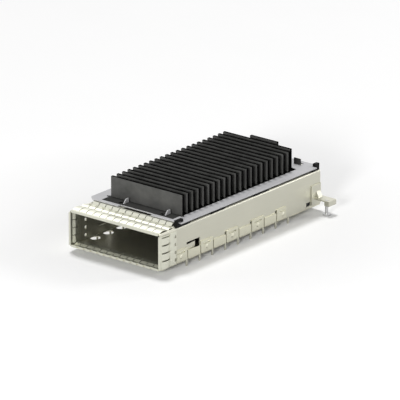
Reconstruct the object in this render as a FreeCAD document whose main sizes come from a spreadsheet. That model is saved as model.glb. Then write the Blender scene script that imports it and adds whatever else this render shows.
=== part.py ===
import FreeCAD, Part
import os
from math import cos, pi, sin, sqrt
from types import SimpleNamespace

import Sketcher
from FreeCAD import Placement, Rotation, Vector

# Board-mounted cage for a pluggable module, with a heat sink that rides in its roof.
# X runs across the opening, Y from the opening to the rear, Z up. The origin is under
# the middle of the cage, level with the tips of the board pins.

# Driving sizes in millimetres. A start or place along the cage is counted from its front
# plane, and an inset from its rear plane.
SIZES = {
    # Folded sheet of the cage and the bay that it encloses
    "bay_width": 42.6,
    "bay_height": 13.2,
    "overall_length": 95.6,
    "sheet_gauge": 0.4,
    "bend_inside": 0.5,
    # Board pins and the floor's clasping tabs, which share one pitch
    "pin_drop": 2.4,
    "pin_width": 0.9,
    "pin_tip": 0.8,
    "pin_count": 9,
    "pin_room": 0.25,
    "tab_pitch": 7.5,
    "tab_width": 7.1,
    "tab_fold": 0.6,
    "tab_start": 12.0,
    "tall_tab": 5.1,
    "short_tab": 3.85,
    "tall_tab_count": 5,
    "short_tab_count": 4,
    "last_tab_trim": 1.5,
    "slit_length": 4.2,
    "slit_height": 0.5,
    "slit_rise": 3.65,
    "dimple_radius": 0.9,
    "dimple_height": 0.45,
    "dimple_crown": 0.4,
    "dimple_rise": 2.4,
    "relief_length": 4.2,
    "relief_width": 3.6,
    "relief_inset": 0.3,
    # Latch tongue, lock holes and rear notch in each side wall
    "latch_start": 15.6,
    "latch_length": 7.7,
    "latch_low": 2.9,
    "latch_height": 3.6,
    "tongue_length": 5.4,
    "tongue_height": 2.4,
    "tongue_low": 0.3,
    "tongue_bend": 0.5,
    "lock_length": 0.9,
    "lock_height": 0.8,
    "lock_count": 6,
    "notch_inset": 9.0,
    "notch_length": 2.5,
    "notch_height": 1.5,
    "notch_low": 0.7,
    # Shielding strips round the front edge
    "hem_depth": 0.3,
    "hem_reach": 0.65,
    "strip_gauge": 0.25,
    "hem_slot": 1.2,
    "finger_slot": 0.3,
    "side_slot": 0.6,
    "outer_lip": 1.0,
    "outer_bow": 4.8,
    "outer_rise": 0.55,
    "bottom_tail": 4.1,
    "side_tail": 3.7,
    "second_gap": 0.2,
    "second_bow": 2.7,
    "second_rise": 0.4,
    "top_tail": 1.05,
    "inner_lip": 0.8,
    "inner_ramp": 1.1,
    "inner_crest": 1.6,
    "inner_rise": 0.55,
    "inner_room": 0.3,
    "roof_gap": 0.1,
    "roof_lip": 0.2,
    "roof_ramp": 0.8,
    "roof_crest": 1.0,
    "roof_rise": 0.8,
    "wide_finger_pitch": 3.2,
    "wide_fingers": 13,
    "side_finger_pitch": 3.03,
    "side_fingers": 4,
    "side_slot_shift": 1.3,
    "side_vent": 8.9,
    "top_vent": 9.15,
    "vent_length": 0.9,
    "vent_width": 1.2,
    # Heat sink: pedestal in the roof window, flange, base and fins
    "window_width": 31.0,
    "window_start": 20.4,
    "window_inset": 11.2,
    "pedestal_room": 0.5,
    "pedestal_reach": 0.4,
    "flange_width": 37.4,
    "flange_margin": 1.6,
    "flange_gauge": 0.6,
    "fin_start": 18.65,
    "fin_inset": 9.95,
    "fin_count": 22,
    "fin_gauge": 1.05,
    "fin_span": 34.2,
    "fin_height": 7.8,
    "fin_trim": 1.7,
    "short_fin_span": 13.1,
    "base_height": 1.6,
    # Retainer plate on its pads
    "pad_height": 1.2,
    "plate_gauge": 0.4,
    "plate_width": 45.0,
    "plate_start": 11.6,
    "plate_inset": 1.0,
    "plate_room": 0.5,
    "front_notch_width": 15.6,
    "front_notch_depth": 1.5,
    "corner_chamfer": 2.1,
    "corner_cut": 2.3,
    "corner_length": 2.6,
    "window_relief": 0.9,
    "guide_place": 10.0,
    "guide_shift": 1.0,
    "guide_hole_width": 2.4,
    "guide_hole": 2.0,
    "guide_hole_start": 14.4,
    "guide_length": 3.0,
    "guide_ramp": 1.5,
    "guide_rise": 1.6,
    "hook_place": 14.3,
    "hook_width": 3.2,
    "hook_inset": 5.3,
    "hook_hole": 1.9,
    "hook_rise": 2.4,
    # Black clips and pads that carry the plate
    "clip_length": 8.0,
    "clip_width": 2.6,
    "clip_rise": 1.15,
    "clip_spine": 1.0,
    "clip_arm": 3.9,
    "clip_arm_gauge": 0.7,
    "clip_nose": 0.8,
    "grip_width": 1.3,
    "fit_room": 0.1,
    "first_pad": 30.2,
    "second_pad": 55.9,
    # Rear bracket and its board screws
    "bracket_gauge": 0.5,
    "bracket_inset": 6.2,
    "bracket_top": 11.1,
    "bracket_low": 3.4,
    "ear_top": 6.0,
    "ear_length": 4.6,
    "ear_reach": 7.4,
    "ear_lip": 1.5,
    "ear_lip_width": 2.2,
    "gusset_width": 2.2,
    "gusset_reach": 1.2,
    "gusset_rise": 2.4,
    "screw_offset": 5.4,
    "screw_inset": 3.3,
    "screw_radius": 0.6,
    "head_radius": 1.6,
    "head_height": 0.7,
    # Host connector at the rear of the bay
    "housing_width": 36.0,
    "housing_length": 12.8,
    "housing_height": 9.0,
    "housing_step": 2.4,
    "housing_foot": 2.0,
    "slot_width": 32.4,
    "slot_height": 1.6,
    "slot_rise": 4.6,
    "tail_window": 34.0,
    "tail_room": 2.0,
    "contact_pitch": 0.6,
    "contact_count": 52,
    "contact_width": 0.3,
    "contact_gauge": 0.25,
    "contact_setback": 0.9,
    "lower_leg": 0.4,
    "leg_spacing": 0.7,
    "leg_room": 1.05,
}


class Size:
    """A length that carries both its number and the sheet formula behind it."""

    def __init__(self, value, text):
        self.value = value
        self.text = text

    def __add__(self, other):
        return Size(self.value + number(other), f"({self.text} + {formula(other)})")

    def __sub__(self, other):
        return Size(self.value - number(other), f"({self.text} - {formula(other)})")

    def __mul__(self, other):
        return Size(self.value * number(other), f"({self.text} * {formula(other)})")

    def __truediv__(self, other):
        return Size(self.value / number(other), f"({self.text} / {formula(other)})")

    def __neg__(self):
        return Size(-self.value, f"(0 - {self.text})")


def number(item):
    return item.value if isinstance(item, Size) else item


def formula(item):
    return item.text if isinstance(item, Size) else str(item)


doc = FreeCAD.newDocument("module_cage")
sheet = doc.addObject("Spreadsheet::Sheet", "Sizes")
d = SimpleNamespace()
for row, (alias, value) in enumerate(SIZES.items(), start=1):
    sheet.set(f"A{row}", alias)
    sheet.set(f"B{row}", str(value))
    sheet.setAlias(f"B{row}", alias)
    setattr(d, alias, Size(value, f"Sizes.{alias}"))
doc.recompute()

# Levels and faces that several pieces share
zero = Size(0, "0")
front = -d.overall_length / 2
rear = d.overall_length / 2
shell_front = front + d.hem_depth
shell_rear = rear - d.bracket_gauge
wall_in = d.bay_width / 2
wall_out = wall_in + d.sheet_gauge
tab_out = wall_out + d.sheet_gauge
floor_low = d.pin_drop
floor_top = floor_low + d.sheet_gauge
roof_low = floor_top + d.bay_height
roof_top = roof_low + d.sheet_gauge
bend_outside = d.bend_inside + d.sheet_gauge
side_strip_length = roof_top - bend_outside - floor_top
side_strip_middle = floor_top + side_strip_length / 2
side_strip_end = front + d.outer_lip + d.outer_bow + d.side_tail
top_strip_end = front + d.outer_lip + d.outer_bow + d.second_gap + d.second_bow + d.top_tail
plate_low = roof_top + d.pad_height
plate_top = plate_low + d.plate_gauge
base_top = roof_top + d.base_height
window_front = front + d.window_start
window_rear = rear - d.window_inset
fins_front = front + d.fin_start
fins_rear = rear - d.fin_inset
fin_pitch = (fins_rear - fins_front - d.fin_gauge) / (d.fin_count - 1)
short_fin_front = fins_front + fin_pitch * d.fin_count
short_fin_rear = short_fin_front + d.fin_gauge
plate_front = front + d.plate_start
plate_rear = rear - d.plate_inset
housing_rear = shell_rear - d.sheet_gauge - d.leg_room - d.contact_gauge - d.leg_spacing - d.lower_leg
housing_front = housing_rear - d.housing_length
screw_x = wall_out + d.screw_offset
screw_y = rear - d.screw_inset


def new_body(name):
    return doc.addObject("PartDesign::Body", name)


def origin_feature(body, role):
    return next(item for item in body.Origin.OriginFeatures if item.Role == role)


def sketch_on(body, plane, place):
    """An empty sketch on the XY, XZ or YZ plane, moved to a place on the plane's axis."""
    sketch = body.newObject("Sketcher::SketchObject", body.Name + "_sketch")
    sketch.AttachmentSupport = [(origin_feature(body, plane + "_Plane"), "")]
    sketch.MapMode = "FlatFace"
    offset = -place if plane == "XZ" else place
    sketch.setExpression("AttachmentOffset.Base.z", offset.text)
    return sketch


def fix(sketch, kind, geometry, end, item):
    """Tie one coordinate of a point to the sheet."""
    mark = sketch.addConstraint(Sketcher.Constraint(kind, -1, 1, geometry, end, item.value))
    sketch.setExpression(f"Constraints[{mark}]", item.text)


def arc_middle(start, end, radius, turn):
    """The middle of the short arc between two points; turn is 1 to the left, -1 to the right."""
    chord = end - start
    side = Vector(-chord.y, chord.x, 0).normalize() * turn
    depth = radius - sqrt(max(radius ** 2 - chord.Length ** 2 / 4, 0))
    return (start + end) * 0.5 - side * depth


def loop(sketch, points, arcs=None):
    """A closed loop through the points; arcs maps an edge's number to its radius and turn."""
    arcs = arcs or {}
    corners = [Vector(x.value, y.value, 0) for x, y in points]
    ends = []
    for index, start in enumerate(corners):
        end = corners[(index + 1) % len(corners)]
        if index in arcs:
            radius, turn = arcs[index]
            edge = Part.Arc(start, arc_middle(start, end, radius.value, turn), end)
        else:
            edge = Part.LineSegment(start, end)
        mark = sketch.addGeometry(edge, False)
        forward = (sketch.getPoint(mark, 1) - start).Length <= (sketch.getPoint(mark, 2) - start).Length
        ends.append((mark, 1, 2) if forward else (mark, 2, 1))
    for index, (mark, first, last) in enumerate(ends):
        following = ends[(index + 1) % len(ends)]
        sketch.addConstraint(Sketcher.Constraint("Coincident", mark, last, following[0], following[1]))
        fix(sketch, "DistanceX", mark, first, points[index][0])
        fix(sketch, "DistanceY", mark, first, points[index][1])
        if index in arcs:
            radius = arcs[index][0]
            tie = sketch.addConstraint(Sketcher.Constraint("Radius", mark, radius.value))
            sketch.setExpression(f"Constraints[{tie}]", radius.text)


def rectangle(sketch, x_low, x_high, y_low, y_high):
    loop(sketch, [(x_low, y_low), (x_high, y_low), (x_high, y_high), (x_low, y_high)])


def both_rectangles(sketch, x_low, x_high, y_low, y_high):
    """A rectangle on the right and its mirror image on the left."""
    rectangle(sketch, x_low, x_high, y_low, y_high)
    rectangle(sketch, -x_high, -x_low, y_low, y_high)


def both_loops(sketch, points, arcs=None):
    """A loop on the right and its mirror image on the left."""
    loop(sketch, points, arcs)
    mirrored_arcs = {index: (radius, -turn) for index, (radius, turn) in (arcs or {}).items()}
    loop(sketch, [(-x, y) for x, y in points], mirrored_arcs)


def circle(sketch, x, y, radius):
    mark = sketch.addGeometry(Part.Circle(Vector(x.value, y.value, 0), Vector(0, 0, 1), radius.value), False)
    fix(sketch, "DistanceX", mark, 3, x)
    fix(sketch, "DistanceY", mark, 3, y)
    tie = sketch.addConstraint(Sketcher.Constraint("Radius", mark, radius.value))
    sketch.setExpression(f"Constraints[{tie}]", radius.text)


def ring(sketch, x, y, radius, sides=12):
    """A small round drawn as a regular polygon."""
    corners = [2 * pi * index / sides for index in range(sides)]
    loop(sketch, [(x + radius * round(cos(turn), 6), y + radius * round(sin(turn), 6)) for turn in corners])


def pad(body, sketch, length, centred=False):
    """Raise the sketch towards the positive axis, or half to each side."""
    feature = body.newObject("PartDesign::Pad", body.Name + "_pad")
    feature.Profile = sketch
    feature.setExpression("Length", length.text)
    feature.Reversed = sketch.AttachmentSupport[0][0].Role == "XZ_Plane"
    feature.SideType = "Symmetric" if centred else "One side"
    return feature


def cut(body, sketch, length):
    """Cut the sketch's loops away, half of the length to each side of the sketch."""
    feature = body.newObject("PartDesign::Pocket", body.Name + "_cut")
    feature.Profile = sketch
    feature.SideType = "Symmetric"
    feature.setExpression("Length", length.text)
    return feature


def row_of(body, feature, axis, pitch, count):
    """Repeat a feature along an axis of the body."""
    pattern = body.newObject("PartDesign::LinearPattern", body.Name + "_row")
    pattern.Originals = [feature]
    pattern.Direction = (origin_feature(body, axis + "_Axis"), [""])
    pattern.Mode = "Spacing"
    pattern.setExpression("Offset", pitch.text)
    pattern.setExpression("Occurrences", count.text)
    body.Tip = pattern
    return pattern


def place_body(body, turn, x, y, z):
    """Turn a body about the Y direction and move it to its seat."""
    body.Placement = Placement(Vector(x.value, y.value, z.value), Rotation(Vector(0, 1, 0), turn))
    for name, item in (("x", x), ("y", y), ("z", z)):
        body.setExpression(f"Placement.Base.{name}", item.text)


def make_cage_shell():
    """Roof and side walls folded from one sheet, with the rear wall and the board pins."""
    body = new_body("cage_shell")
    fold = sketch_on(body, "XZ", shell_front)
    right_side = [
        (wall_in, roof_low - d.bend_inside),
        (wall_in, floor_top),
        (wall_out, floor_top),
        (wall_out, roof_top - bend_outside),
        (wall_out - bend_outside, roof_top),
    ]
    left_side = [(-x, z) for x, z in reversed(right_side)]
    inner_corners = [(-(wall_in - d.bend_inside), roof_low), (wall_in - d.bend_inside, roof_low)]
    bends = {3: (bend_outside, 1), 5: (bend_outside, 1), 9: (d.bend_inside, -1), 11: (d.bend_inside, -1)}
    loop(fold, right_side + left_side + inner_corners, bends)
    pad(body, fold, shell_rear - shell_front)

    rear_wall = sketch_on(body, "XZ", shell_rear - d.sheet_gauge)
    rectangle(rear_wall, -(wall_in + d.sheet_gauge / 2), wall_in + d.sheet_gauge / 2,
              floor_top, roof_low + d.sheet_gauge / 2)
    pad(body, rear_wall, d.sheet_gauge)

    window = sketch_on(body, "XY", roof_top)
    rectangle(window, -d.window_width / 2, d.window_width / 2, window_front, window_rear)
    cut(body, window, d.sheet_gauge * 3)

    through_walls = d.bay_width + d.sheet_gauge * 4
    side_cuts = sketch_on(body, "YZ", zero)
    latch_front = front + d.latch_start
    latch_bottom = floor_top + d.latch_low
    rectangle(side_cuts, latch_front, latch_front + d.latch_length, latch_bottom, latch_bottom + d.latch_height)
    notch_front = rear - d.notch_inset
    notch_bottom = floor_top + d.notch_low
    rectangle(side_cuts, notch_front, notch_front + d.notch_length, notch_bottom, notch_bottom + d.notch_height)
    cut(body, side_cuts, through_walls)

    vent = sketch_on(body, "YZ", zero)
    vent_y = front + d.side_vent
    vent_z = side_strip_middle + d.side_slot_shift - d.side_finger_pitch * d.side_fingers / 2
    rectangle(vent, vent_y - d.vent_length / 2, vent_y + d.vent_length / 2,
              vent_z - d.vent_width / 2, vent_z + d.vent_width / 2)
    row_of(body, cut(body, vent, through_walls), "Z", d.side_finger_pitch, d.side_fingers)

    lock = sketch_on(body, "YZ", zero)
    lock_middle = front + d.tab_start + d.tab_pitch * 2.5
    lock_bottom = floor_low + d.short_tab
    rectangle(lock, lock_middle - d.lock_length / 2, lock_middle + d.lock_length / 2,
              lock_bottom, lock_bottom + d.lock_height)
    row_of(body, cut(body, lock, through_walls), "Y", d.tab_pitch, d.lock_count)

    tongue = sketch_on(body, "XY", latch_bottom + d.tongue_low)
    tongue_tip = latch_front + d.tongue_length
    both_loops(tongue, [
        (wall_in, latch_front - d.sheet_gauge),
        (wall_out, latch_front - d.sheet_gauge),
        (wall_out, latch_front),
        (wall_out - d.tongue_bend, tongue_tip),
        (wall_in - d.tongue_bend, tongue_tip),
        (wall_in, latch_front),
    ])
    pad(body, tongue, d.tongue_height)

    first_pin = front + d.tab_start + d.tab_pitch / 2
    for wall in (wall_in, -wall_out):
        pin = sketch_on(body, "YZ", wall)
        half = d.pin_width / 2
        loop(pin, [
            (first_pin - half / 2, zero),
            (first_pin + half / 2, zero),
            (first_pin + half, d.pin_tip),
            (first_pin + half, floor_top + d.sheet_gauge),
            (first_pin - half, floor_top + d.sheet_gauge),
            (first_pin - half, d.pin_tip),
        ])
        row_of(body, pad(body, pin, d.sheet_gauge), "Y", d.tab_pitch, d.pin_count)
    return body


def make_cage_floor():
    """Floor sheet with folded-up tabs that clasp the side walls."""
    body = new_body("cage_floor")
    plate = sketch_on(body, "XY", floor_low)
    rectangle(plate, -wall_out, wall_out, shell_front, shell_rear)
    pad(body, plate, d.sheet_gauge)

    tab_centre = front + d.tab_start
    for centre, height, count in (
        (tab_centre, d.tall_tab, d.tall_tab_count),
        (tab_centre + d.tab_pitch, d.short_tab, d.short_tab_count),
    ):
        tab = sketch_on(body, "XZ", centre - d.tab_width / 2)
        both_loops(tab, [
            (wall_in, floor_low),
            (tab_out - d.tab_fold, floor_low),
            (tab_out, floor_low + d.tab_fold),
            (tab_out, floor_low + height),
            (wall_out, floor_low + height),
            (wall_out, floor_top),
            (wall_in, floor_top),
        ], {1: (d.tab_fold, 1)})
        row_of(body, pad(body, tab, d.tab_width), "Y", d.tab_pitch * 2, count)

    last_tab_end = tab_centre + d.tab_pitch * (d.pin_count - 1) + d.tab_width / 2
    for start, end in (
        (shell_front, side_strip_end + d.fit_room),
        (last_tab_end - d.last_tab_trim, last_tab_end + d.fit_room),
    ):
        trim = sketch_on(body, "XY", floor_low)
        both_rectangles(trim, wall_out, tab_out + d.fit_room, start, end)
        cut(body, trim, d.tall_tab * 3)
    slit = sketch_on(body, "YZ", zero)
    slit_low = floor_low + d.slit_rise
    rectangle(slit, tab_centre - d.slit_length / 2, tab_centre + d.slit_length / 2,
              slit_low, slit_low + d.slit_height)
    row_of(body, cut(body, slit, tab_out * 3), "Y", d.tab_pitch * 2, d.tall_tab_count)

    dimple_z = floor_low + d.dimple_rise
    for face, crown in ((tab_out, tab_out + d.dimple_height), (-tab_out, -(tab_out + d.dimple_height))):
        foot = sketch_on(body, "YZ", face)
        ring(foot, tab_centre, dimple_z, d.dimple_radius)
        top = sketch_on(body, "YZ", crown)
        ring(top, tab_centre, dimple_z, d.dimple_crown)
        dimple = body.newObject("PartDesign::AdditiveLoft", "cage_floor_dimple")
        dimple.Profile = foot
        dimple.Sections = [top]
        dimple.Ruled = True
        row_of(body, dimple, "Y", d.tab_pitch * 2, d.tall_tab_count)

    relief = sketch_on(body, "XY", floor_low)
    relief_out = wall_in - d.relief_inset
    relief_in = relief_out - d.relief_width
    relief_half = d.relief_length / 2
    relief_corner = d.relief_width / 3
    both_loops(relief, [
        (relief_out, tab_centre - relief_half + relief_corner),
        (relief_out, tab_centre + relief_half - relief_corner),
        (relief_out - relief_corner, tab_centre + relief_half),
        (relief_in + relief_corner, tab_centre + relief_half),
        (relief_in, tab_centre + relief_half - relief_corner),
        (relief_in, tab_centre - relief_half + relief_corner),
        (relief_in + relief_corner, tab_centre - relief_half),
        (relief_out - relief_corner, tab_centre - relief_half),
    ])
    row_of(body, cut(body, relief, d.sheet_gauge * 3), "Y", d.tab_pitch, d.pin_count)

    pin_gap = sketch_on(body, "XY", floor_low)
    first_pin = tab_centre + d.tab_pitch / 2
    pin_half = d.pin_width / 2 + d.pin_room
    both_rectangles(pin_gap, wall_in - d.pin_room, tab_out + d.pin_room, first_pin - pin_half, first_pin + pin_half)
    row_of(body, cut(body, pin_gap, d.sheet_gauge * 3), "Y", d.tab_pitch, d.pin_count)

    tails = sketch_on(body, "XY", floor_low)
    rectangle(tails, -d.tail_window / 2, d.tail_window / 2, housing_rear - d.tail_room,
              shell_rear - d.sheet_gauge)
    cut(body, tails, d.sheet_gauge * 3)
    return body


def bow_radius(length, rise):
    return (length * length / 4 + rise * rise) / (rise * 2)


def slot_row(body, row, start, end, width, through):
    """Cut the slots that part the fingers, from start to end along the strip."""
    slot = sketch_on(body, "XY", zero)
    slot_x = row.slot_centre - row.pitch * (row.slots - 1) / 2
    rectangle(slot, slot_x - width / 2, slot_x + width / 2, start, end)
    row_of(body, cut(body, slot, through), "X", row.pitch, row.slots)


def make_outer_strip(name, turn, seat, row):
    """A strip hemmed over the front edge, with bowed fingers; seat is where its back lies."""
    body = new_body(name)
    bow_end = d.outer_lip + d.outer_bow
    underside = [(d.outer_lip, zero), (bow_end, zero)]
    bows = [(0, bow_radius(d.outer_bow, d.outer_rise))]
    if row.second_bow:
        second_start = bow_end + d.second_gap
        bow_end = second_start + d.second_bow
        underside += [(second_start, zero), (bow_end, zero)]
        bows += [(2, bow_radius(d.second_bow, d.second_rise))]
    end = bow_end + row.tail
    count = len(underside)
    outline = underside + [(end, zero), (end, d.strip_gauge)]
    outline += [(y, d.strip_gauge) for y, z in reversed(underside)]
    outline += [(zero, d.strip_gauge), (zero, -d.hem_reach), (d.hem_depth, -d.hem_reach), (d.hem_depth, zero)]
    arcs = {edge: (radius, -1) for edge, radius in bows}
    arcs.update({count * 2 - edge: (radius, 1) for edge, radius in bows})
    section = sketch_on(body, "YZ", zero)
    loop(section, outline, arcs)
    pad(body, section, row.span, centred=True)

    through = (d.outer_rise + d.strip_gauge) * 4
    slot_row(body, row, d.outer_lip, bow_end, row.slot, through)
    if row.hem_slots:
        slot_row(body, row, zero, d.hem_depth, d.hem_slot, through)
    if row.vents:
        vent = sketch_on(body, "XY", zero)
        vent_x = row.vent_centre - row.pitch * (row.vents - 1) / 2
        rectangle(vent, vent_x - d.vent_width / 2, vent_x + d.vent_width / 2,
                  row.vent_place - d.vent_length / 2, row.vent_place + d.vent_length / 2)
        row_of(body, cut(body, vent, through), "X", row.pitch, row.vents)
    place_body(body, turn, *seat)
    return body


def make_pressed_strip(name, turn, seat, form, row):
    """A flat-backed strip whose fingers are pressed up between two ramps."""
    body = new_body(name)
    foot = form.lip
    crest = foot + form.ramp
    fall = crest + form.crest
    heel = fall + form.ramp
    end = heel + form.lip
    underside = [(zero, zero), (foot, zero), (crest, form.rise), (fall, form.rise), (heel, zero), (end, zero)]
    section = sketch_on(body, "YZ", zero)
    loop(section, underside + [(y, z + d.strip_gauge) for y, z in reversed(underside)])
    pad(body, section, row.span, centred=True)
    slot_row(body, row, foot, heel, row.slot, (form.rise + d.strip_gauge) * 4)
    place_body(body, turn, *seat)
    return body


def wide_row(span, **more):
    """A row of fingers across the cage."""
    row = SimpleNamespace(span=span, pitch=d.wide_finger_pitch, slot=d.finger_slot, slots=d.wide_fingers - 1,
                          slot_centre=zero, vents=None, second_bow=False, hem_slots=False)
    row.__dict__.update(more)
    return row


def side_row(span, slots, shift, **more):
    """A row of fingers up one side of the opening, with its slots shifted from the middle."""
    row = SimpleNamespace(span=span, pitch=d.side_finger_pitch, slot=d.side_slot, slots=slots,
                          slot_centre=shift, second_bow=False, hem_slots=False)
    row.__dict__.update(more)
    return row


def make_outer_strips():
    """Strips clipped round the outside of the front edge."""
    span = d.wide_finger_pitch * d.wide_fingers
    top = wide_row(span, tail=d.top_tail, second_bow=True, vents=d.wide_fingers, vent_centre=zero,
                   vent_place=d.top_vent)
    bottom = wide_row(span, tail=d.bottom_tail, hem_slots=True)
    vent_shift = d.side_slot_shift - d.side_finger_pitch / 2
    right = side_row(side_strip_length, d.side_fingers, -d.side_slot_shift, tail=d.side_tail,
                     vents=d.side_fingers, vent_centre=-vent_shift, vent_place=d.side_vent)
    left = side_row(side_strip_length, d.side_fingers, d.side_slot_shift, tail=d.side_tail,
                    vents=d.side_fingers, vent_centre=vent_shift, vent_place=d.side_vent)
    return [
        make_outer_strip("top_outer_fingers", 0, (zero, front, roof_top), top),
        make_outer_strip("bottom_outer_fingers", 180, (zero, front, floor_low), bottom),
        make_outer_strip("right_outer_fingers", 90, (wall_out, front, side_strip_middle), right),
        make_outer_strip("left_outer_fingers", 270, (-wall_out, front, side_strip_middle), left),
    ]


def make_inner_strips():
    """Strips inside the mouth of the bay that touch the module."""
    form = SimpleNamespace(lip=d.inner_lip, ramp=d.inner_ramp, crest=d.inner_crest, rise=d.inner_rise)
    bay_middle = (floor_top + roof_low) / 2
    wide = wide_row(d.bay_width - (d.strip_gauge + d.inner_rise + d.inner_room) * 2)
    side = side_row(d.side_finger_pitch * d.side_fingers, d.side_fingers - 1, zero)
    side.slot = d.finger_slot
    return [
        make_pressed_strip("bottom_inner_fingers", 0, (zero, shell_front, floor_top), form, wide),
        make_pressed_strip("top_inner_fingers", 180, (zero, shell_front, roof_low), form, wide),
        make_pressed_strip("left_inner_fingers", 90, (-wall_in, shell_front, bay_middle), form, side),
        make_pressed_strip("right_inner_fingers", 270, (wall_in, shell_front, bay_middle), form, side),
    ]


def make_roof_strip():
    """Strip of short fingers on the roof, under the front edge of the retainer plate."""
    form = SimpleNamespace(lip=d.roof_lip, ramp=d.roof_ramp, crest=d.roof_crest, rise=d.roof_rise)
    row = wide_row((wall_out - d.clip_width - d.fit_room) * 2, slots=d.wide_fingers - 2)
    return make_pressed_strip("roof_fingers", 0, (zero, top_strip_end + d.roof_gap, roof_top), form, row)


def make_heat_sink():
    """One piece: pedestal through the roof window, flange under the plate, base and cross fins."""
    body = new_body("heat_sink")
    half_span = d.fin_span / 2
    flange_top = roof_top + d.flange_gauge

    pedestal = sketch_on(body, "XY", roof_low - d.pedestal_reach)
    pedestal_half = d.window_width / 2 - d.pedestal_room
    rectangle(pedestal, -pedestal_half, pedestal_half, window_front + d.pedestal_room,
              window_rear - d.pedestal_room)
    pad(body, pedestal, d.pedestal_reach + d.sheet_gauge + d.flange_gauge / 2)

    flange = sketch_on(body, "XY", roof_top)
    rectangle(flange, -d.flange_width / 2, d.flange_width / 2, fins_front - d.flange_margin,
              short_fin_rear + d.flange_margin)
    pad(body, flange, d.flange_gauge)

    base = sketch_on(body, "XY", flange_top)
    rectangle(base, -half_span, half_span, fins_front, fins_rear)
    pad(body, base, base_top - flange_top)
    heel = sketch_on(body, "XY", flange_top)
    rectangle(heel, -d.short_fin_span / 2, d.short_fin_span / 2, fins_rear - d.fin_gauge, short_fin_rear)
    pad(body, heel, base_top - flange_top)
    short_fin = sketch_on(body, "XY", base_top)
    rectangle(short_fin, -d.short_fin_span / 2, d.short_fin_span / 2, short_fin_front, short_fin_rear)
    pad(body, short_fin, d.fin_height)

    fin = sketch_on(body, "XY", base_top)
    rectangle(fin, -half_span, half_span, fins_front, fins_front + d.fin_gauge)
    row_of(body, pad(body, fin, d.fin_height), "Y", fin_pitch, d.fin_count)

    trim = sketch_on(body, "XY", base_top + d.fin_height / 2)
    rectangle(trim, half_span - d.fin_trim, half_span + d.fin_trim, fins_rear - d.fin_gauge,
              fins_rear + d.fin_gauge)
    cut(body, trim, d.fin_height)
    return body


def make_retainer_plate():
    """Sheet frame round the heat sink's base, above its flange."""
    body = new_body("retainer_plate")
    half = d.plate_width / 2
    notch_half = d.front_notch_width / 2
    notch_rear = plate_front + d.front_notch_depth
    corner_front = plate_rear - d.corner_length
    outline = sketch_on(body, "XY", plate_low)
    loop(outline, [
        (notch_half, notch_rear),
        (notch_half, plate_front),
        (half, plate_front),
        (half, corner_front),
        (half - d.corner_cut, corner_front),
        (half - d.corner_cut, plate_rear),
        (-(half - d.corner_cut), plate_rear),
        (-(half - d.corner_cut), corner_front),
        (-half, corner_front),
        (-half, plate_front + d.corner_chamfer),
        (-(half - d.corner_chamfer), plate_front),
        (-notch_half, plate_front),
        (-notch_half, notch_rear),
    ])
    pad(body, outline, d.plate_gauge)

    window = sketch_on(body, "XY", plate_low)
    opening_front = fins_front - d.plate_room
    wide_half = d.fin_span / 2 + d.plate_room
    heel_half = d.short_fin_span / 2 + d.plate_room
    wide_rear = fins_rear + d.plate_room
    heel_rear = short_fin_rear + d.plate_room
    right_window = [
        (wide_half, opening_front),
        (wide_half, wide_rear),
        (heel_half, wide_rear),
        (heel_half, heel_rear),
    ]
    loop(window, right_window + [(-x, y) for x, y in reversed(right_window)])
    cut(body, window, d.plate_gauge * 3)

    holes = sketch_on(body, "XY", plate_low)
    guide_front = front + d.guide_hole_start
    guide_edges = [middle + d.guide_hole_width / 2
                   for middle in (d.guide_shift - d.guide_place, d.guide_shift + d.guide_place)]
    for edge in guide_edges:
        rectangle(holes, edge - d.guide_hole_width, edge, guide_front, guide_front + d.guide_hole)
    hook_left = d.hook_place - d.hook_width / 2
    hook_right = d.hook_place + d.hook_width / 2
    hook_front = rear - d.hook_inset
    hook_rear = hook_front + d.plate_gauge
    both_rectangles(holes, hook_left, hook_right, hook_rear, hook_rear + d.hook_hole)
    cut(body, holes, d.plate_gauge * 3)
    reliefs = sketch_on(body, "XY", plate_low)
    circle(reliefs, wide_half, opening_front, d.window_relief)
    circle(reliefs, -wide_half, opening_front, d.window_relief)
    cut(body, reliefs, d.plate_gauge * 3)

    guide_top = plate_top + d.guide_rise
    for edge in guide_edges:
        guide = sketch_on(body, "YZ", edge)
        loop(guide, [
            (guide_front, plate_low),
            (guide_front + d.guide_length, plate_low),
            (guide_front + d.guide_length, guide_top),
            (guide_front + d.guide_ramp, guide_top),
            (guide_front, plate_top),
        ])
        pad(body, guide, d.plate_gauge)
    hooks = sketch_on(body, "XY", plate_low)
    both_rectangles(hooks, hook_left, hook_right, hook_front, hook_rear)
    pad(body, hooks, d.plate_gauge + d.hook_rise)
    return body


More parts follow.
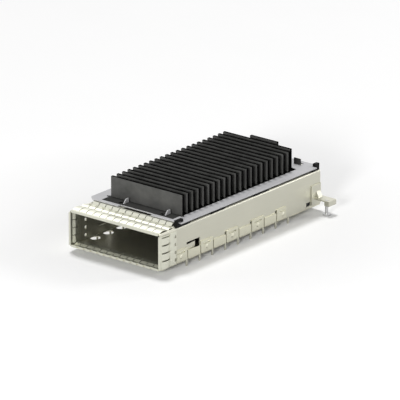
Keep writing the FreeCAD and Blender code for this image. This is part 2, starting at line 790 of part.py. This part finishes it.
def make_clips_and_pads():
    """Black moulded pieces that hold the plate above the roof."""
    pad_out = wall_out
    pad_in = pad_out - d.clip_width
    post_in = d.plate_width / 2 - d.corner_cut + d.fit_room

    front_clips = new_body("front_clips")
    clip_front = top_strip_end + d.fit_room
    clip_top = plate_top + d.clip_rise
    arm_low = clip_top - d.clip_arm_gauge
    grip = sketch_on(front_clips, "YZ", pad_out - d.grip_width)
    loop(grip, [
        (clip_front, roof_top),
        (clip_front + d.clip_length, roof_top),
        (clip_front + d.clip_length, plate_low),
        (clip_front + d.clip_spine, plate_low),
        (clip_front + d.clip_spine, arm_low),
        (clip_front + d.clip_arm - d.clip_nose, arm_low),
        (clip_front + d.clip_arm - d.clip_nose, plate_top),
        (clip_front + d.clip_arm, plate_top),
        (clip_front + d.clip_arm, clip_top),
        (clip_front, clip_top),
    ])
    pad(front_clips, grip, d.grip_width)
    foot = sketch_on(front_clips, "XY", roof_top)
    foot_front = clip_front + d.clip_arm
    rectangle(foot, -pad_out, -pad_in, foot_front, foot_front + d.clip_length)
    pad(front_clips, foot, d.pad_height)

    rear_clips = new_body("rear_clips")
    feet = sketch_on(rear_clips, "XY", roof_top)
    both_rectangles(feet, pad_in, pad_out, plate_rear - d.clip_length / 2, plate_rear)
    pad(rear_clips, feet, d.pad_height)
    posts = sketch_on(rear_clips, "XY", roof_top)
    both_rectangles(posts, post_in, pad_out, plate_rear - d.corner_length + d.fit_room, plate_rear)
    pad(rear_clips, posts, clip_top - roof_top)

    edge_pads = new_body("edge_pads")
    blocks = sketch_on(edge_pads, "XY", roof_top)
    both_rectangles(blocks, pad_in, pad_out, front + d.first_pad, front + d.first_pad + d.clip_length)
    both_rectangles(blocks, pad_in, pad_out, front + d.second_pad, front + d.second_pad + d.clip_length)
    pad(edge_pads, blocks, d.pad_height)
    return [front_clips, rear_clips, edge_pads]


def make_rear_bracket():
    """Sheet wrapped round the rear of the cage, with an ear for a screw on each side."""
    body = new_body("rear_bracket")
    start = rear - d.bracket_inset
    outside = wall_out + d.bracket_gauge
    ear_low = d.ear_top - d.bracket_gauge
    wrap_radius = d.bracket_gauge + d.bend_inside
    wrap = sketch_on(body, "XY", d.bracket_low)
    loop(wrap, [
        (wall_out, start),
        (outside, start),
        (outside, rear - wrap_radius),
        (outside - wrap_radius, rear),
        (-(outside - wrap_radius), rear),
        (-outside, rear - wrap_radius),
        (-outside, start),
        (-wall_out, start),
        (-wall_out, shell_rear),
        (wall_out, shell_rear),
    ], {2: (wrap_radius, 1), 4: (wrap_radius, 1)})
    pad(body, wrap, d.bracket_top - d.bracket_low)

    ear_out = wall_out + d.ear_reach
    ear_front = rear - d.ear_length
    ears = sketch_on(body, "XY", ear_low)
    both_rectangles(ears, outside - d.bracket_gauge / 2, ear_out, ear_front, rear)
    pad(body, ears, d.bracket_gauge)
    lips = sketch_on(body, "XY", ear_low - d.ear_lip)
    both_loops(lips, [
        (ear_out - d.ear_lip_width, ear_front),
        (ear_out, ear_front),
        (ear_out, rear),
        (ear_out - d.bracket_gauge, rear),
        (ear_out - d.bracket_gauge, ear_front + d.bracket_gauge),
        (ear_out - d.ear_lip_width, ear_front + d.bracket_gauge),
    ])
    pad(body, lips, d.ear_lip + d.bracket_gauge / 2)

    gusset_inside = outside - d.bracket_gauge / 2
    gussets = sketch_on(body, "XZ", ear_front + (d.ear_length - d.gusset_width) / 2)
    both_loops(gussets, [
        (gusset_inside, ear_low),
        (outside + d.gusset_reach, ear_low),
        (outside + d.gusset_reach, d.ear_top),
        (outside, d.ear_top + d.gusset_rise),
        (gusset_inside, d.ear_top + d.gusset_rise),
    ])
    pad(body, gussets, d.gusset_width)

    holes = sketch_on(body, "XY", ear_low)
    circle(holes, screw_x, screw_y, d.screw_radius + d.fit_room)
    circle(holes, -screw_x, screw_y, d.screw_radius + d.fit_room)
    cut(body, holes, d.bracket_gauge * 3)
    return body


def make_screw(name, side):
    """Board screw: its head is under the board, and its shank ends in the ear."""
    body = new_body(name)
    section = sketch_on(body, "XZ", zero)
    loop(section, [
        (zero, zero),
        (d.head_radius, zero),
        (d.head_radius, d.head_height),
        (d.screw_radius, d.head_height),
        (d.screw_radius, d.ear_top),
        (zero, d.ear_top),
    ])
    turned = body.newObject("PartDesign::Revolution", name + "_turned")
    turned.Profile = section
    turned.ReferenceAxis = (origin_feature(body, "Z_Axis"), [""])
    turned.Angle = 360
    place_body(body, 0, screw_x * side, screw_y, zero)
    return body


def make_connector():
    """Host connector: moulded housing with a card slot and two rows of contacts."""
    housing_top = floor_top + d.housing_height
    slot_low = floor_top + d.slot_rise
    slot_top = slot_low + d.slot_height

    housing = new_body("connector_housing")
    section = sketch_on(housing, "YZ", zero)
    loop(section, [
        (housing_front, floor_top),
        (housing_rear, floor_top),
        (housing_rear, housing_top - d.housing_step),
        (housing_rear - d.housing_step, housing_top),
        (housing_front, housing_top),
    ])
    pad(housing, section, d.housing_width, centred=True)
    feet = sketch_on(housing, "XY", floor_top)
    both_rectangles(feet, d.housing_width / 2 - d.housing_foot, wall_in,
                    housing_rear - d.housing_step * 2, housing_rear)
    pad(housing, feet, d.housing_foot)
    slot = sketch_on(housing, "XZ", housing_front)
    rectangle(slot, -d.slot_width / 2, d.slot_width / 2, slot_low, slot_top)
    cut(housing, slot, d.housing_length * 3)

    tip = housing_front + d.contact_setback
    row_start = -(d.contact_pitch * (d.contact_count - 1) / 2)
    rows = []
    for name, leg, beam_face, bend in (
        ("upper_contacts", housing_rear + d.lower_leg + d.leg_spacing, slot_top, -1),
        ("lower_contacts", housing_rear + d.lower_leg, slot_low, 1),
    ):
        body = new_body(name)
        section = sketch_on(body, "YZ", row_start)
        inner_face = beam_face + d.contact_gauge * bend
        leg_top = beam_face if bend < 0 else inner_face
        beam_low = inner_face if bend < 0 else beam_face
        loop(section, [
            (tip, beam_low),
            (leg, beam_low),
            (leg, floor_low),
            (leg + d.contact_gauge, floor_low),
            (leg + d.contact_gauge, leg_top),
            (tip, leg_top),
        ])
        row_of(body, pad(body, section, d.contact_width, centred=True), "X", d.contact_pitch, d.contact_count)
        rows.append(body)
    return [housing] + rows


def check_and_export(pieces):
    """Stop on any failed object, then write one file for each piece."""
    doc.recompute()
    for item in doc.Objects:
        if "Invalid" in item.State or "Error" in item.State:
            raise RuntimeError(f"{item.Name} failed: {item.State}")
    for piece in pieces:
        if piece.Shape.isNull() or not piece.Shape.isValid():
            raise RuntimeError(f"{piece.Label} has no valid shape")
    os.makedirs("parts", exist_ok=True)
    for piece in pieces:
        piece.Shape.exportStep(f"parts/{piece.Label}.step")


pieces = [make_cage_shell(), make_cage_floor()]
pieces += make_outer_strips()
pieces += make_inner_strips()
pieces += [make_roof_strip(), make_heat_sink(), make_retainer_plate()]
pieces += make_clips_and_pads()
pieces += [make_rear_bracket(), make_screw("right_screw", 1), make_screw("left_screw", -1)]
pieces += make_connector()
check_and_export(pieces)
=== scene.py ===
import math

import bpy
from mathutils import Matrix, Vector

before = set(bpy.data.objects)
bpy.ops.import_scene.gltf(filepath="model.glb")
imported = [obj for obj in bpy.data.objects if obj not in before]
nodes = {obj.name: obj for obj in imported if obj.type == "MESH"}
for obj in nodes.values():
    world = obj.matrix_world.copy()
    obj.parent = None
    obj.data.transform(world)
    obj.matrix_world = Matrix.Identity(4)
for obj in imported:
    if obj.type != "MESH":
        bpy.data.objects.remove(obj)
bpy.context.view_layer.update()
scene = bpy.context.scene
MM = 0.001


# Node materials

NOISE_LOW = 0.3
NOISE_HIGH = 0.7
EVEN = (1, 1, 1)
ALONG_X = (0.04, 1, 1)
ALONG_Y = (1, 0.04, 1)
ALONG_Z = (1, 1, 0.04)


def fill(node, values):
    """Set a node's inputs; values is a dictionary by socket name."""
    for socket, value in values.items():
        node.inputs[socket].default_value = value


class Paint:
    """A principled material and short ways to add nodes to it."""

    def __init__(self, name, roughness=0.4, metallic=0.0, specular=0.5):
        self.material = bpy.data.materials.new(name)
        self.material.use_nodes = True
        self.tree = self.material.node_tree
        self.shader = self.tree.nodes["Principled BSDF"]
        fill(self.shader, {"Roughness": roughness, "Metallic": metallic, "Specular IOR Level": specular})
        self.place = self.node("ShaderNodeTexCoord").outputs["Object"]

    def node(self, kind, **values):
        """A new node with some of its properties set."""
        made = self.tree.nodes.new(kind)
        for name, value in values.items():
            setattr(made, name, value)
        return made

    def link(self, source, target):
        self.tree.links.new(source, target)

    def noise(self, scale, detail, roughness=0.5, stretch=EVEN):
        """A noise value in object space, drawn out along the axis where stretch is small."""
        mapping = self.node("ShaderNodeMapping")
        fill(mapping, {"Scale": stretch})
        self.link(self.place, mapping.inputs["Vector"])
        made = self.node("ShaderNodeTexNoise")
        fill(made, {"Scale": scale, "Detail": detail, "Roughness": roughness})
        self.link(mapping.outputs["Vector"], made.inputs["Vector"])
        return made.outputs["Fac"]

    def ramp(self, source, stops):
        """Colours along a value; stops are pairs of place and colour."""
        made = self.node("ShaderNodeValToRGB")
        for element, (place, colour) in zip(made.color_ramp.elements, stops):
            element.position = place
            element.color = (*colour, 1)
        self.link(source, made.inputs["Fac"])
        return made.outputs["Color"]

    def math(self, operation, first, second):
        """The result of a maths node on two inputs, each a number or a socket."""
        made = self.node("ShaderNodeMath", operation=operation)
        for socket, value in zip(made.inputs, (first, second)):
            if isinstance(value, (int, float)):
                socket.default_value = value
            else:
                self.link(value, socket)
        return made.outputs[0]

    def inside(self, low, high):
        """One inside a box in object space, else zero."""
        parts = self.node("ShaderNodeSeparateXYZ")
        self.link(self.place, parts.inputs[0])
        result = 1.0
        for axis, start, end in zip(parts.outputs, low, high):
            for test, limit in (("GREATER_THAN", start), ("LESS_THAN", end)):
                result = self.math("MULTIPLY", result, self.math(test, axis, limit))
        return result

    def colour(self, source, stops):
        self.link(self.ramp(source, stops), self.shader.inputs["Base Color"])

    def gloss(self, source, low, high):
        """Let the roughness follow a noise value, from low to high."""
        made = self.node("ShaderNodeMapRange")
        fill(made, {"From Min": NOISE_LOW, "From Max": NOISE_HIGH, "To Min": low, "To Max": high})
        self.link(source, made.inputs["Value"])
        self.link(made.outputs["Result"], self.shader.inputs["Roughness"])

    def bump(self, source, strength, depth):
        made = self.node("ShaderNodeBump")
        fill(made, {"Strength": strength, "Distance": depth})
        self.link(source, made.inputs["Height"])
        self.link(made.outputs["Normal"], self.shader.inputs["Normal"])


def around(colour, change):
    """Two tones a little darker and lighter than a colour."""
    darker = [c * (1 - change) for c in colour]
    lighter = [c * (1 + change) for c in colour]
    return [(NOISE_LOW, darker), (NOISE_HIGH, lighter)]


def rolled(paint, roughness, grain):
    """Fine rolling streaks in a sheet's gloss and surface."""
    streaks = paint.noise(scale=2600, detail=4, roughness=0.6, stretch=grain)
    paint.gloss(streaks, *roughness)
    paint.bump(streaks, strength=0.12, depth=0.01 * MM)


def sheet_metal(name, colour, roughness, grain=ALONG_Y, change=0.05):
    """Plated or plain metal with rolling streaks along its grain."""
    paint = Paint(name, metallic=1.0)
    paint.colour(paint.noise(scale=90, detail=3), around(colour, change))
    rolled(paint, roughness, grain)
    return paint.material


def plate_with_painted_dark(name, metal, metal_share, painted_dark_tone, roughness, painted_dark_zones):
    """Satin sheet painted black inside some zones, as a painted dark reflection of the fins; a zone is
    two corners in metres.
    """
    paint = Paint(name, specular=0.0)
    clouds = paint.noise(scale=90, detail=3)
    inside = 0.0
    for low, high in painted_dark_zones:
        inside = paint.math("MAXIMUM", inside, paint.inside(low, high))
    tone = paint.node("ShaderNodeMix", data_type="RGBA")
    paint.link(inside, tone.inputs["Factor"])
    paint.link(paint.ramp(clouds, around(metal, change=0.03)), tone.inputs["A"])
    paint.link(paint.ramp(clouds, around(painted_dark_tone, change=0.10)), tone.inputs["B"])
    paint.link(tone.outputs["Result"], paint.shader.inputs["Base Color"])
    bare = paint.math("SUBTRACT", 1.0, inside)
    paint.link(paint.math("MULTIPLY", bare, metal_share), paint.shader.inputs["Metallic"])
    rolled(paint, roughness, ALONG_Y)
    return paint.material


def moulded(name, colour, roughness, specular):
    """Matt moulded plastic with a fine eroded grain."""
    paint = Paint(name, specular=specular)
    grain = paint.noise(scale=4200, detail=2)
    paint.colour(paint.noise(scale=160, detail=3), around(colour, change=0.2))
    paint.gloss(grain, *roughness)
    paint.bump(grain, strength=0.25, depth=0.02 * MM)
    return paint.material


def anodised(name, colour, roughness, specular, grain):
    """Black anodised metal with the marks of the tool that cut the face."""
    paint = Paint(name, specular=specular)
    marks = paint.noise(scale=1500, detail=3, roughness=0.6, stretch=grain)
    paint.colour(paint.noise(scale=220, detail=4), around(colour, change=0.25))
    paint.gloss(marks, *roughness)
    paint.bump(marks, strength=0.2, depth=0.015 * MM)
    return paint.material


cage_metal = sheet_metal("cage_nickel", (0.545, 0.537, 0.458), (0.40, 0.50), change=0.02)
# The cage floor's tabs take a lighter copy of the cage nickel: painted highlight where the bulging tabs
# catch light.
painted_highlight_tab_metal = sheet_metal("tab_nickel_painted_highlight", (0.605, 0.594, 0.488), (0.36, 0.46), change=0.02)
spring_metal = sheet_metal("spring_nickel", (0.64, 0.64, 0.55), (0.40, 0.50), change=0.03)
# The roof fingers take a darker copy of the spring nickel: painted shade on their rows.
roof_metal_painted_shade = sheet_metal("roof_spring_nickel_painted_shade", (0.60, 0.60, 0.52), (0.40, 0.50), change=0.03)
screw_metal = sheet_metal("screw_steel", (0.55, 0.55, 0.55), (0.25, 0.40), grain=ALONG_Z)
contact_metal = sheet_metal("contact_gold", (0.85, 0.62, 0.25), (0.18, 0.28))

# Zones painted black on the plate: painted dark reflection of the fins in front of them and on the rear
# hooks.
FRONT_OF_FINS = ((-0.0171, -0.0346, 0.0172), (0.0171, -0.0290, 0.01805))
RIGHT_HOOK = ((0.0120, 0.0420, 0.01805), (0.0165, 0.0435, 0.0210))
LEFT_HOOK = ((-0.0165, 0.0420, 0.01805), (-0.0120, 0.0435, 0.0210))
plate_metal = plate_with_painted_dark(
    "plate_satin",
    metal=(0.52, 0.52, 0.53),
    metal_share=0.3,
    painted_dark_tone=(0.050, 0.050, 0.048),
    roughness=(0.48, 0.58),
    painted_dark_zones=[FRONT_OF_FINS, RIGHT_HOOK, LEFT_HOOK],
)

clip_plastic = moulded("clip_plastic", (0.005, 0.005, 0.005), (0.35, 0.5), specular=0.08)
housing_plastic = moulded("housing_plastic", (0.012, 0.012, 0.013), (0.4, 0.55), specular=0.3)

# The fins' tops and sawn ends get near-black copies of the face material: painted shade by facing.
fin_face = anodised("fin_faces", (0.090, 0.090, 0.086), (0.34, 0.46), specular=0.25, grain=ALONG_X)
fin_top_painted_shade = anodised("fin_tops_painted_shade", (0.005, 0.005, 0.005), (0.5, 0.6), specular=0.0, grain=ALONG_X)
fin_end_painted_shade = anodised("fin_ends_painted_shade", (0.003, 0.003, 0.003), (0.6, 0.75), specular=0.0, grain=ALONG_Z)

FINISHES = {
    "cage_shell": cage_metal,
    "rear_bracket": cage_metal,
    "cage_floor": painted_highlight_tab_metal,
    "roof_fingers": roof_metal_painted_shade,
    "retainer_plate": plate_metal,
    "front_clips": clip_plastic,
    "rear_clips": clip_plastic,
    "edge_pads": clip_plastic,
    "connector_housing": housing_plastic,
    "upper_contacts": contact_metal,
    "lower_contacts": contact_metal,
    "right_screw": screw_metal,
    "left_screw": screw_metal,
    "heat_sink": fin_face,
}
for side in ("top", "bottom", "left", "right"):
    FINISHES[side + "_outer_fingers"] = spring_metal
    FINISHES[side + "_inner_fingers"] = spring_metal
for name, finish in FINISHES.items():
    nodes[name].material_slots[0].material = finish


# Rounded edges; the tabs of the cage floor keep their shallow dimples as they are

JOIN_DISTANCE = 0.001 * MM
ROUND_STEPS = 2
BENT = 35
SHARPLY_BENT = 65
ROUNDED = {
    "cage_shell": (0.12, BENT),
    "rear_bracket": (0.12, BENT),
    "cage_floor": (0.12, SHARPLY_BENT),
    "retainer_plate": (0.06, BENT),
    "front_clips": (0.15, BENT),
    "rear_clips": (0.15, BENT),
    "edge_pads": (0.15, BENT),
    "connector_housing": (0.15, BENT),
    "heat_sink": (0.10, BENT),
}


def soften(name, width, angle):
    """Join the solid's facets, then round edges of more than an angle; the width is in millimetres."""
    weld = nodes[name].modifiers.new("join", "WELD")
    weld.merge_threshold = JOIN_DISTANCE
    bevel = nodes[name].modifiers.new("round", "BEVEL")
    bevel.width = width * MM
    bevel.segments = ROUND_STEPS
    bevel.limit_method = "ANGLE"
    bevel.angle_limit = math.radians(angle)


for name, (width, angle) in ROUNDED.items():
    soften(name, width, angle)


# Heat sink: darker copies of the fin material on the fins' tops and sawn ends, as painted shade by the
# way each face faces

FACING_LIMIT = 0.6


def paint_shade_by_facing(name, shaded_copies):
    """Give faces a material by the way they face, to paint shade on faces that face up or sideways; each
    pair given is an axis and a material.
    """
    group = bpy.data.node_groups.new(name + "_finish", "GeometryNodeTree")
    group.interface.new_socket("Geometry", in_out="INPUT", socket_type="NodeSocketGeometry")
    group.interface.new_socket("Geometry", in_out="OUTPUT", socket_type="NodeSocketGeometry")
    start = group.nodes.new("NodeGroupInput")
    end = group.nodes.new("NodeGroupOutput")
    normal = group.nodes.new("GeometryNodeInputNormal")
    parts = group.nodes.new("ShaderNodeSeparateXYZ")
    group.links.new(normal.outputs[0], parts.inputs[0])
    last = start.outputs[0]
    for axis, finish in shaded_copies:
        size = group.nodes.new("ShaderNodeMath")
        size.operation = "ABSOLUTE"
        group.links.new(parts.outputs[axis], size.inputs[0])
        facing = group.nodes.new("ShaderNodeMath")
        facing.operation = "GREATER_THAN"
        facing.inputs[1].default_value = FACING_LIMIT
        group.links.new(size.outputs[0], facing.inputs[0])
        paint = group.nodes.new("GeometryNodeSetMaterial")
        paint.inputs["Material"].default_value = finish
        group.links.new(last, paint.inputs["Geometry"])
        group.links.new(facing.outputs[0], paint.inputs["Selection"])
        last = paint.outputs["Geometry"]
    group.links.new(last, end.inputs[0])
    nodes[name].modifiers.new("finish", "NODES").node_group = group


paint_shade_by_facing("heat_sink", [("Z", fin_top_painted_shade), ("X", fin_end_painted_shade)])


# Floor, light and camera; places and sizes in metres

FLOOR_SIZE = 6
FLOOR_TONES = [(0.0, (0.91, 0.91, 0.91)), (1.0, (0.93, 0.93, 0.93))]
# The floor's glow grows with distance from the object: painted shade near it, painted light far off.
FLOOR_GLOW_BY_DISTANCE = {"From Min": 0.05, "From Max": 0.11, "To Min": 0.05, "To Max": 0.175}
WORLD_STRENGTH = {"To Min": 0.15, "To Max": 1.0}
WHITE = (1, 1, 1, 1)


def light_path(tree):
    """One for rays from the camera, mirrors or glass, which see the white background; else zero."""
    path = tree.nodes.new("ShaderNodeLightPath")
    seen = path.outputs["Is Camera Ray"]
    for kind in ("Is Glossy Ray", "Is Transmission Ray"):
        either = tree.nodes.new("ShaderNodeMath")
        either.operation = "MAXIMUM"
        tree.links.new(seen, either.inputs[0])
        tree.links.new(path.outputs[kind], either.inputs[1])
        seen = either.outputs[0]
    return seen


def pale_floor():
    """Plain paper whose glow rises to the white background away from the object: painted light on the
    far floor, and painted shade on the floor near the object.
    """
    paint = Paint("floor_paper", roughness=0.9, specular=0.0)
    paint.colour(paint.noise(scale=30, detail=2), FLOOR_TONES)
    distance = paint.node("ShaderNodeVectorMath", operation="LENGTH")
    paint.link(paint.place, distance.inputs[0])
    glow = paint.node("ShaderNodeMapRange")
    fill(glow, FLOOR_GLOW_BY_DISTANCE)
    paint.link(distance.outputs["Value"], glow.inputs["Value"])
    seen = paint.math("MULTIPLY", light_path(paint.tree), glow.outputs["Result"])
    fill(paint.shader, {"Emission Color": WHITE})
    paint.link(seen, paint.shader.inputs["Emission Strength"])
    bpy.ops.mesh.primitive_plane_add(size=FLOOR_SIZE, location=(0, 0, 0))
    floor = bpy.context.object
    floor.name = "floor"
    floor.data.materials.append(paint.material)


def studio_world():
    """A white background that lights the object only a little."""
    world = bpy.data.worlds.new("studio")
    scene.world = world
    world.use_nodes = True
    tree = world.node_tree
    background = tree.nodes["Background"]
    fill(background, {"Color": WHITE})
    strength = tree.nodes.new("ShaderNodeMapRange")
    fill(strength, WORLD_STRENGTH)
    tree.links.new(light_path(tree), strength.inputs["Value"])
    tree.links.new(strength.outputs["Result"], background.inputs["Strength"])


def aim(thing, direction):
    """Turn a lamp or camera to look in a direction, and put it in the scene."""
    thing.rotation_mode = "QUATERNION"
    thing.rotation_quaternion = Vector(direction).to_track_quat("-Z", "Y")
    scene.collection.objects.link(thing)


def sun(name, travel, strength, angle):
    """Even light that travels in one direction; the angle sets how soft its shadows are."""
    light = bpy.data.lights.new(name, "SUN")
    light.energy = strength
    light.angle = math.radians(angle)
    aim(bpy.data.objects.new(name, light), travel)


def softbox(name, place, size, watts):
    """A soft rectangular lamp that faces the object."""
    light = bpy.data.lights.new(name, "AREA")
    light.shape = "RECTANGLE"
    light.size, light.size_y = size
    light.energy = watts
    lamp = bpy.data.objects.new(name, light)
    lamp.location = place
    aim(lamp, -Vector(place))


def photo_camera(target, back, distance, lens):
    """The photograph's view: a long lens, almost without perspective."""
    data = bpy.data.cameras.new("camera")
    data.lens = lens
    camera = bpy.data.objects.new("camera", data)
    camera.location = Vector(target) + Vector(back).normalized() * distance
    aim(camera, -Vector(back))
    scene.camera = camera


pale_floor()
studio_world()
sun("key", travel=(0.28, -0.17, -1.0), strength=1.70, angle=14)
softbox("rim", place=(0.54, 0.73, 0.42), size=(0.30, 0.24), watts=1.9)
softbox("upper_left", place=(-0.62, 0.10, 0.78), size=(0.4, 0.4), watts=0.28)
softbox("front", place=(0.36, -0.87, 0.31), size=(0.2, 0.15), watts=5.4)
photo_camera(
    target=(-0.00138, 0.00380, 0.01081),
    back=(0.5966, -0.7304, 0.333),
    distance=2.08,
    lens=500,
)
scene.view_settings.view_transform = "Standard"
